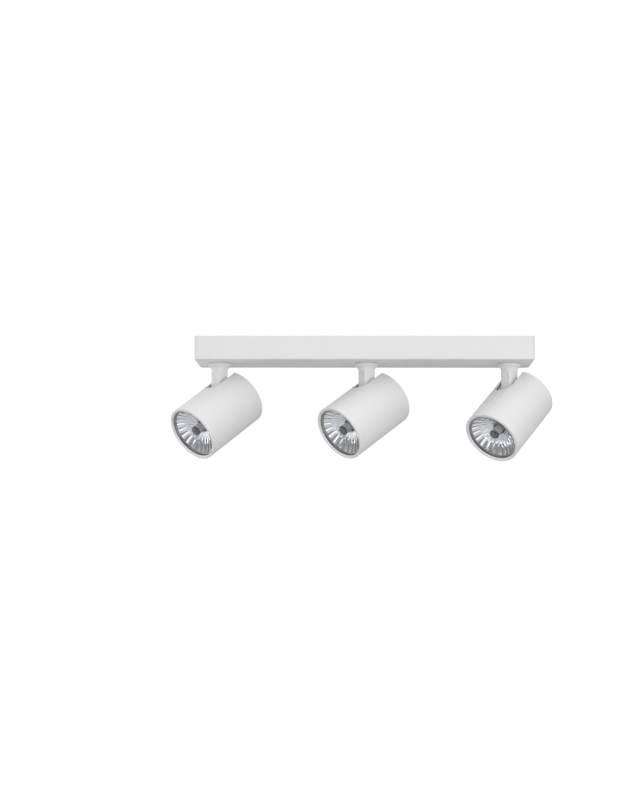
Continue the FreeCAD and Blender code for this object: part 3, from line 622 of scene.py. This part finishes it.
def bowl_wall(t, outer):
    """A point of the bowl's inner or outer wall and the way inwards; t runs from 0 in front to 1 behind."""
    if outer:
        start, end, bend = Vector((LAMP_RADIUS, LAMP_FRONT + 3.2)), Vector((NECK_OUTSIDE, BOWL_END)), 40.0
    else:
        start, end, bend = Vector((MIRROR_EDGE, MIRROR_FRONT)), Vector((NECK_HOLE + 1.2, MIRROR_END)), 26.0
    chord = end - start
    outward = Vector((chord.y, -chord.x)).normalized()
    centre = (start + end) / 2 - outward * math.sqrt(bend ** 2 - chord.length_squared / 4)
    first = (start - centre).angle_signed(Vector((1, 0)))
    last = (end - centre).angle_signed(Vector((1, 0)))
    angle = first + (last - first) * t
    outwards = Vector((math.cos(angle), math.sin(angle)))
    return centre + bend * outwards, -outwards


FLUTES = 26
FLUTE_STEPS = 8
FLUTE_HEIGHT = 0.7
BOWL_BANDS = 2
BAND_STEPS = 8
BAND_HEIGHT = 0.05


def make_reflector(i):
    """The pressed bowl: bands of long bulging facets inside, a smooth wall outside and a plain rim, with a
    dark metal rim piece whose darkness over the bore and the mirror's edge is painted shade.
    """
    rows = BOWL_BANDS * BAND_STEPS
    columns = FLUTES * FLUTE_STEPS
    points = []

    def add_ring(radius, z):
        for k in range(columns):
            angle = 2 * math.pi * k / columns
            points.append((radius * math.cos(angle), radius * math.sin(angle), z))

    for row in range(rows + 1):
        centre, inward = bowl_wall(row / rows, False)
        along = math.sin(math.pi * (row % BAND_STEPS) / BAND_STEPS)
        band = min(row // BAND_STEPS, BOWL_BANDS - 1)
        for k in range(columns):
            across = (k / FLUTE_STEPS + 0.5 * (band == BOWL_BANDS - 1)) % 1
            narrowing = centre.x / LAMP_RADIUS
            bulge = FLUTE_HEIGHT * narrowing * math.sin(math.pi * across) ** 0.75 + BAND_HEIGHT * along
            radius = centre.x + inward.x * bulge
            z = centre.y + inward.y * bulge
            angle = 2 * math.pi * k / columns
            points.append((radius * math.cos(angle), radius * math.sin(angle), z))
    ring_count = rows + 1
    for radius, z in [(NECK_HOLE, MIRROR_END + 0.8), (NECK_HOLE, BOWL_END), (NECK_OUTSIDE, BOWL_END)]:
        add_ring(radius, z)
        ring_count += 1
    for step in range(7, -1, -1):
        wall, _ = bowl_wall(step / 8, True)
        add_ring(wall.x, wall.y)
        ring_count += 1
    for radius, z in [(LAMP_RADIUS, MIRROR_FRONT), (MIRROR_EDGE + 0.1, MIRROR_FRONT)]:
        add_ring(radius, z)
        ring_count += 1
    faces = []
    for r in range(ring_count):
        lower, upper = r * columns, ((r + 1) % ring_count) * columns
        for k in range(columns):
            n = (k + 1) % columns
            faces.append([lower + k, lower + n, upper + n, upper + k])
    bowl = new_piece("lamp_bowl_%d" % i, points, faces, head_frame(i), 28)
    place(bowl, "head_%d" % i, "mirror_coat", "mirror", ["lamp_reflector_%d" % i])
    # The lamp's metal rim is made dark and carried round the mirror's edge and into the ring's bore: painted
    # shade of the gap there and of the bore in shadow.
    bore = RING_BORE - 0.25
    outline = [(MIRROR_EDGE, MIRROR_FRONT - 0.4), (MIRROR_EDGE + 0.3, MIRROR_FRONT - 0.6),
               (bore - 0.2, MIRROR_FRONT - 0.6), (bore, MIRROR_FRONT - 0.9), (bore + 0.3, 1.1),
               (bore + 0.5, 1.1), (RING_BORE - 0.02, LAMP_FRONT + 0.05),
               (LAMP_RADIUS, LAMP_FRONT + 0.05), (LAMP_RADIUS, MIRROR_FRONT - 0.02),
               (MIRROR_EDGE, MIRROR_FRONT - 0.02)]
    rim = lathe("lamp_rim_%d" % i, outline, head_frame(i), 128, sharp=40)
    place(rim, "head_%d" % i, "mirror_coat", "lamp_rim")


def make_lamp_glass(i):
    """The front glass, domed a little."""
    at = head_frame(i)
    front = MIRROR_FRONT - 0.9
    edge = MIRROR_EDGE - 0.02
    outline = [(0, front - 0.25), (12, front - 0.15), (18, front), (edge - 0.5, front + 0.15),
               (edge, front + 0.3), (edge, front + 0.6), (edge - 0.3, front + 0.75), (0, front + 0.6)]
    glass = lathe("lamp_window_%d" % i, outline, at, 96, closed=False)
    place(glass, "head_%d" % i, "front_glass", "glass", ["lamp_glass_%d" % i])


def make_burner(i):
    """The frosted capsule with its tip coated dark as painted shade, its pinched end, the filament coil and
    the two support wires.
    """
    at = head_frame(i)
    tip = MIRROR_FRONT + 0.45
    # The capsule's front is coated nearly black as painted shade, in place of the dark neck hole and shadow
    # behind it.
    painted_shade_end = tip + 2.6
    cap = fillet_profile([(0, tip), (CAPSULE_RADIUS, tip, 1.4), (CAPSULE_RADIUS, painted_shade_end),
                          (0, painted_shade_end)], 6)
    painted_shade_cap = lathe("lamp_painted_shade_tip_%d" % i, cap, at, 48, closed=False, sharp=60)
    place(painted_shade_cap, "head_%d" % i, "quartz", "painted_shade_tip")
    body = CAPSULE_RADIUS - 0.1
    outline = [(0, painted_shade_end + 0.02), (body, painted_shade_end + 0.02), (body, BOWL_END - 5),
               (CAPSULE_RADIUS - 0.6, BOWL_END - 3), (3.4, BOWL_END - 1.6), (0, BOWL_END - 1.4)]
    capsule = lathe("lamp_capsule_%d" % i, outline, at, 48, closed=False, sharp=60)
    place(capsule, "head_%d" % i, "quartz", "quartz", ["lamp_burner_%d" % i])
    route = []
    for k in range(COIL_TURNS * 12 + 1):
        angle = 2 * math.pi * k / 12
        route.append((COIL_RADIUS * math.cos(angle), COIL_RADIUS * math.sin(angle),
                      tip + 5 + COIL_LENGTH * k / (COIL_TURNS * 12)))
    wires = [tube("coil", route, 0.22, at)]
    for side, start in ((-1, tip + 5), (1, tip + 5 + COIL_LENGTH)):
        leg = [(COIL_RADIUS * side, 0, start), (2.6 * side, 0, tip + 11.5), (2.4 * side, 0, BOWL_END - 1)]
        wires.append(tube("leg", leg, 0.28, at))
    filament = join("lamp_filament_%d" % i, wires)
    place(filament, "head_%d" % i, "spring_steel", "tungsten")
    ends = [rounded_ring(4.2, 1.7, 0.8, z, 4) for z in (BOWL_END - 2.2, BOWL_END + 3.6)]
    place(loft("lamp_pinch_%d" % i, ends, at), "head_%d" % i, "quartz", "quartz")


def make_rear_cap(i):
    """The rear disc with soft edges, vent slots, screw recesses and the notch for the arm."""
    at = head_frame(i)
    radius = HEAD_INSIDE - FIT
    cap = lathe("spot_back_%d" % i, [(0, CAP_FRONT), (radius - 0.2, CAP_FRONT), (radius, CAP_FRONT + 0.2),
                                     (radius, CAP_BACK - 0.4), (radius - 0.15, CAP_BACK - 0.1),
                                     (radius - 0.45, CAP_BACK), (0, CAP_BACK)], at, 128, closed=False)

    def cut(name, half, low, high, rounds):
        outline = fillet_profile([(-half, low, rounds[0]), (half, low, rounds[0]),
                                  (half, high, rounds[1]), (-half, high, rounds[1])], 5)
        return prism_piece(name, outline, CAP_FRONT - 1, CAP_BACK + 1, at)

    cutters = [cut("notch", SLOT_HALF, -40, -CAP_NOTCH, (0, 2.0))]
    for k, half in enumerate(VENT_HALVES):
        y = VENT_FIRST + VENT_PITCH * k
        cutters.append(cut("vent", half, y - 1, y + 1, (0.98, 0.98)))
    for side in (-CAP_SCREW_X, CAP_SCREW_X):
        cutters.append(lathe("recess", [(0, CAP_BACK - 1.5), (CAP_SCREW_RECESS, CAP_BACK - 1.5),
                                        (CAP_SCREW_RECESS, CAP_BACK + 1), (0, CAP_BACK + 1)],
                             at @ Matrix.Translation((side * MM, 0, 0)), 32, closed=False))
    carve(cap, cutters, 0.25, 32)
    place(cap, "head_%d" % i, "white_cap", "paint", ["rear_cap_%d" % i])


# ---------------------------------------------------------------- finishes of the CAD nodes that stay

NODE_FINISH = {
    "ceiling_bracket": "zinc", "housing_screws": "zinc", "cable_grommet": "rubber",
    "terminal_block": "terminal", "terminal_screws": "zinc", "earth_screw": "brass", "earth_lead": "earth",
    "lamp_leads": "sleeve",
    "stem_bushes": "nylon", "stem_tube": "zinc", "stem_nut": "zinc", "stem_washers": "spring",
    "hinge_bracket": "paint", "tilt_bolt": "zinc", "tilt_washers": "nylon", "lamp_holder": "ceramic",
    "head_screws": "zinc", "lamp_base": "ceramic",
}


def dress_cad_nodes():
    """Give each CAD node that stays its finish; the numbered ones share the finish of their name."""
    for name, obj in frame["nodes"].items():
        word = name if name in NODE_FINISH else name.rsplit("_", 1)[0]
        if word in NODE_FINISH:
            dress(obj, NODE_FINISH[word])


# ---------------------------------------------------------------- camera, light and surroundings

CAMERA_PLACE = (-0.00285, -1.5129, -0.2334)
CAMERA_RISE = math.radians(96.59)
CAMERA_SWING = math.radians(1.89)
CAMERA_ROLL = math.radians(0.29)
LENS = 70.7

BACKDROP = 1.05
SKY_BELOW = 0.1
SKY_ABOVE = 0.98
FLOOR_Z = -1600
FLOOR_HALF = 6000
FLOOR_GLOW = 0.4


def make_camera():
    data = bpy.data.cameras.new("camera")
    data.lens = LENS
    data.sensor_width = 36.0
    camera = bpy.data.objects.new("camera", data)
    turn = Matrix.Rotation(CAMERA_SWING, 4, "Z") @ Matrix.Rotation(CAMERA_RISE, 4, "X")
    camera.matrix_world = Matrix.Translation(CAMERA_PLACE) @ turn @ Matrix.Rotation(CAMERA_ROLL, 4, "Z")
    bpy.context.scene.collection.objects.link(camera)
    bpy.context.scene.camera = camera


def add_light(name, at, aim, size, power, mirrored):
    """A soft panel; one that is not mirrored lights the paint, and no reflection shows it."""
    data = bpy.data.lights.new(name, "AREA")
    data.shape = "RECTANGLE"
    data.size, data.size_y = size
    data.energy = power
    light = bpy.data.objects.new(name, data)
    light.location = at
    light.visible_glossy = mirrored
    light.rotation_euler = (Vector(aim) - Vector(at)).to_track_quat("-Z", "Y").to_euler()
    bpy.context.scene.collection.objects.link(light)


# name, place, aim, size, power, and whether the mirrors and the gloss show it
PANELS = (
    ("key_panel", (-0.9, -1.5, 1.0), (0, 0, -0.05), (1.4, 1.2), 3.2, True),
    ("front_panel", (0.1, -2.2, -0.15), (0, 0, -0.05), (2.6, 1.6), 14.5, False),
    ("low_strip", (0.05, -0.42, -0.38), (0, 0, -0.03), (0.9, 0.12), 0.55, True),
    ("right_panel", (0.95, -0.8, -0.25), (0, 0, -0.07), (0.6, 0.6), 2.0, False),
    ("left_panel", (-0.75, 0.18, -0.2), (0, 0.02, -0.07), (0.42, 0.26), 1.1, True),
)


def make_studio():
    """A white surround for the camera, and a softer grey one, darker below, that lights the object."""
    world = bpy.data.worlds.new("studio")
    bpy.context.scene.world = world
    world.use_nodes = True
    nodes, links = world.node_tree.nodes, world.node_tree.links
    nodes.clear()
    out = nodes.new("ShaderNodeOutputWorld")
    seen = nodes.new("ShaderNodeBackground")
    seen.inputs["Color"].default_value = (1, 1, 1, 1)
    seen.inputs["Strength"].default_value = BACKDROP
    lit = nodes.new("ShaderNodeBackground")
    lit.inputs["Color"].default_value = (1, 1, 1, 1)
    way = nodes.new("ShaderNodeTexCoord")
    split = nodes.new("ShaderNodeSeparateXYZ")
    links.new(way.outputs["Generated"], split.inputs[0])
    height = nodes.new("ShaderNodeMapRange")
    height.inputs["From Min"].default_value = -1.0
    height.inputs["To Min"].default_value = SKY_BELOW
    height.inputs["To Max"].default_value = SKY_ABOVE
    links.new(split.outputs["Z"], height.inputs["Value"])
    links.new(height.outputs["Result"], lit.inputs["Strength"])
    path = nodes.new("ShaderNodeLightPath")
    mix = nodes.new("ShaderNodeMixShader")
    links.new(path.outputs["Is Camera Ray"], mix.inputs[0])
    links.new(lit.outputs[0], mix.inputs[1])
    links.new(seen.outputs[0], mix.inputs[2])
    links.new(mix.outputs[0], out.inputs["Surface"])
    for panel in PANELS:
        add_light(*panel)
    corners = [(x * FLOOR_HALF, y * FLOOR_HALF, FLOOR_Z) for x, y in ((-1, -1), (1, -1), (1, 1), (-1, 1))]
    floor_mesh = new_piece("floor", corners, [(0, 1, 2, 3)])
    pale = Shader("pale_floor")
    pale.set(Base_Color=(0.9, 0.9, 0.9, 1), Roughness=0.8)
    pale.bsdf.inputs["Emission Color"].default_value = (1, 1, 1, 1)
    pale.bsdf.inputs["Emission Strength"].default_value = FLOOR_GLOW
    floor_mesh.data.materials.append(pale.material)
    floor_mesh.visible_diffuse = False
    bpy.context.scene.view_settings.view_transform = "Standard"
    bpy.context.scene.view_settings.look = "None"


make_camera()
place(make_housing(), "bar", "white_paint", "paint", ["housing"])
for spot in SPOTS:
    make_arm(spot)
    make_shell(spot)
    make_front_ring(spot)
    make_reflector(spot)
    make_lamp_glass(spot)
    make_burner(spot)
    make_rear_cap(spot)
dress_cad_nodes()
make_studio()
